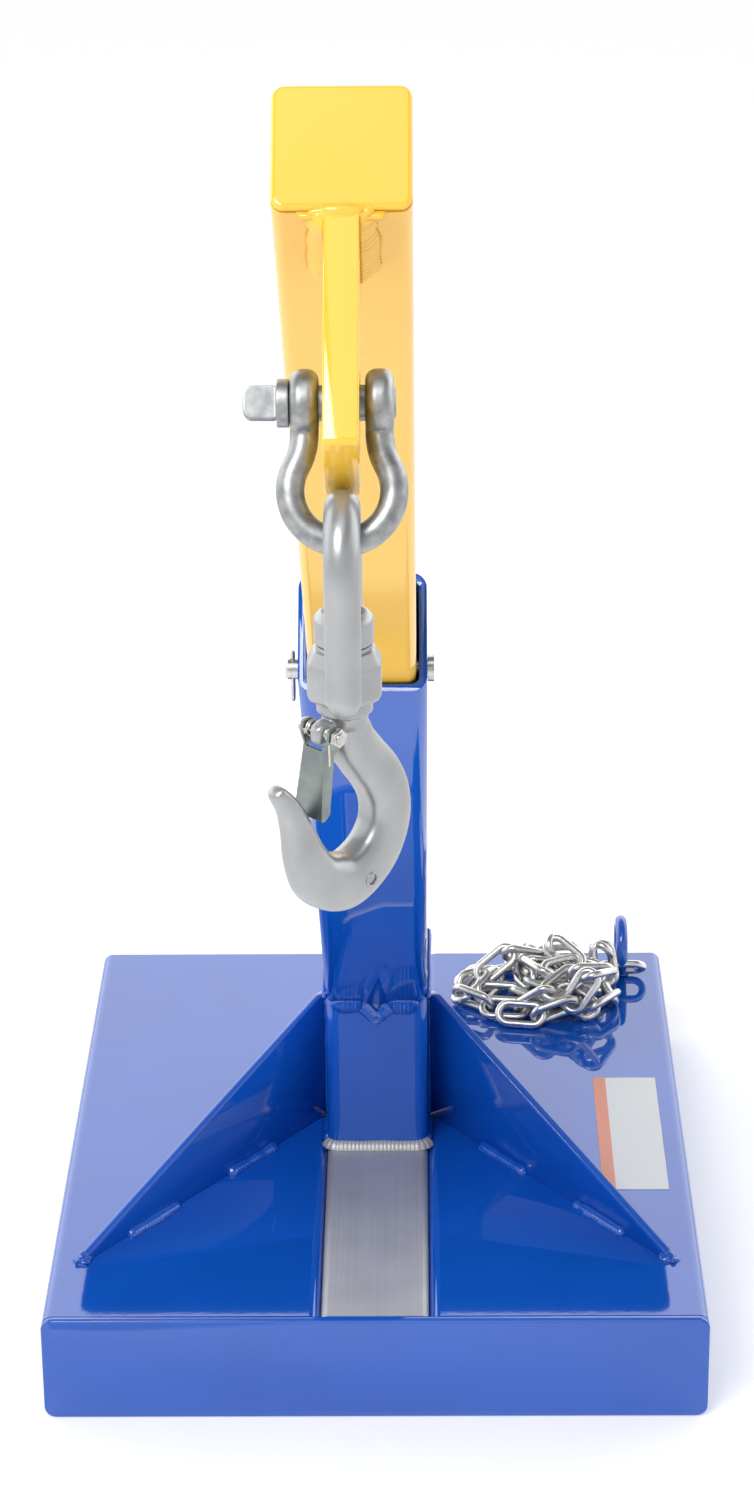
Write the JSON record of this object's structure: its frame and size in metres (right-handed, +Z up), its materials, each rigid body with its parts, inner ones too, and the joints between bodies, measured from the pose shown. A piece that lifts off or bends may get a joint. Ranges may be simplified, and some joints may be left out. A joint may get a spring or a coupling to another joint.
{
  "type": "fork-mounted hoist crane",
  "caption": "Fork-truck hoist boom: twin-pocket base, post with 45-degree mast, telescoping square boom, lock pin, shackle, swivel latch hook and safety chain.",
  "frame": {"origin": "centre of the underside of the base", "axes": "+Z up, the boom reaches forward along -Y, +X to the right seen from the front; the forks enter from +Y"},
  "size_m": [0.47, 1.2484, 1.0784],
  "materials": {
    "blue_paint": "gloss powder coat, slight orange peel",
    "yellow_paint": "gloss powder coat",
    "bare_steel": "bare drawn steel",
    "zinc_plate": "zinc plated",
    "galvanised_steel": "hot-dip galvanised",
    "silver_paint": "satin silver-grey paint",
    "latch_zinc": "pale passivated zinc sheet",
    "chain_zinc": "bright zinc plated",
    "label_film": "printed vinyl film"
  },
  "bodies": {
    "base_frame": {"fork_pocket_left": "blue_paint", "fork_pocket_right": "blue_paint", "centre_tube": "bare_steel", "front_plate": "blue_paint", "post_tube": "blue_paint", "mast_tube": "blue_paint", "gusset_left": "blue_paint", "gusset_right": "blue_paint", "chain_ring": "blue_paint", "safety_chain": "chain_zinc", "label_sticker": "label_film"},
    "boom": {"boom_tube": "yellow_paint", "boom_end_cap": "yellow_paint", "lifting_lug": "yellow_paint"},
    "lock_pin_body": {"lock_pin": "zinc_plate"},
    "cotter": {"hairpin_cotter": "zinc_plate"},
    "shackle": {"shackle_bow": "galvanised_steel"},
    "shackle_screw_pin": {"shackle_pin": "galvanised_steel"},
    "swivel": {"swivel_eye": "silver_paint", "thrust_washer": "silver_paint"},
    "hook_body": {"hook": "silver_paint", "shank_nut": "silver_paint", "latch_pin": "zinc_plate", "latch_nut": "zinc_plate", "latch_spring": "zinc_plate"},
    "latch_gate": {"latch": "latch_zinc"}
  },
  "joints": [
    {"name": "boom_slide", "type": "slide", "parent": "base_frame", "child": "boom", "axis": [0, -0.7071, 0.7071], "range_m": [-0.1524, 0.1524]},
    {"name": "lock_pin_spin", "type": "hinge", "parent": "base_frame", "child": "lock_pin_body", "pos_m": [0, -0.41129, 0.62669], "axis": [1, 0, 0], "continuous": true},
    {"name": "cotter_pull", "type": "slide", "parent": "lock_pin_body", "child": "cotter", "axis": [0, 0, -1], "range_m": [0, 0.045]},
    {"name": "shackle_swing", "type": "hinge", "parent": "boom", "child": "shackle", "pos_m": [0, -0.90256, 0.95567], "axis": [-1, 0, 0], "range_deg": [0, 40]},
    {"name": "shackle_pin_turn", "type": "hinge", "parent": "shackle", "child": "shackle_screw_pin", "pos_m": [0, -0.90256, 0.95567], "axis": [1, 0, 0], "continuous": true},
    {"name": "eye_swing", "type": "hinge", "parent": "shackle", "child": "swivel", "pos_m": [0, -0.93073, 0.90039], "axis": [-1, 0, 0], "range_deg": [-4, 35]},
    {"name": "hook_swivel", "type": "hinge", "parent": "swivel", "child": "hook_body", "pos_m": [0, -0.93073, 0.82659], "axis": [0, 0, 1], "continuous": true},
    {"name": "latch_open", "type": "hinge", "parent": "hook_body", "child": "latch_gate", "pos_m": [-0.01025, -0.94098, 0.81409], "axis": [0.7071, -0.7071, 0], "range_deg": [0, 26], "stiffness_Nm_per_rad": 0.03, "springref_deg": -34.38, "deforming": ["latch_spring"]}
  ]
}
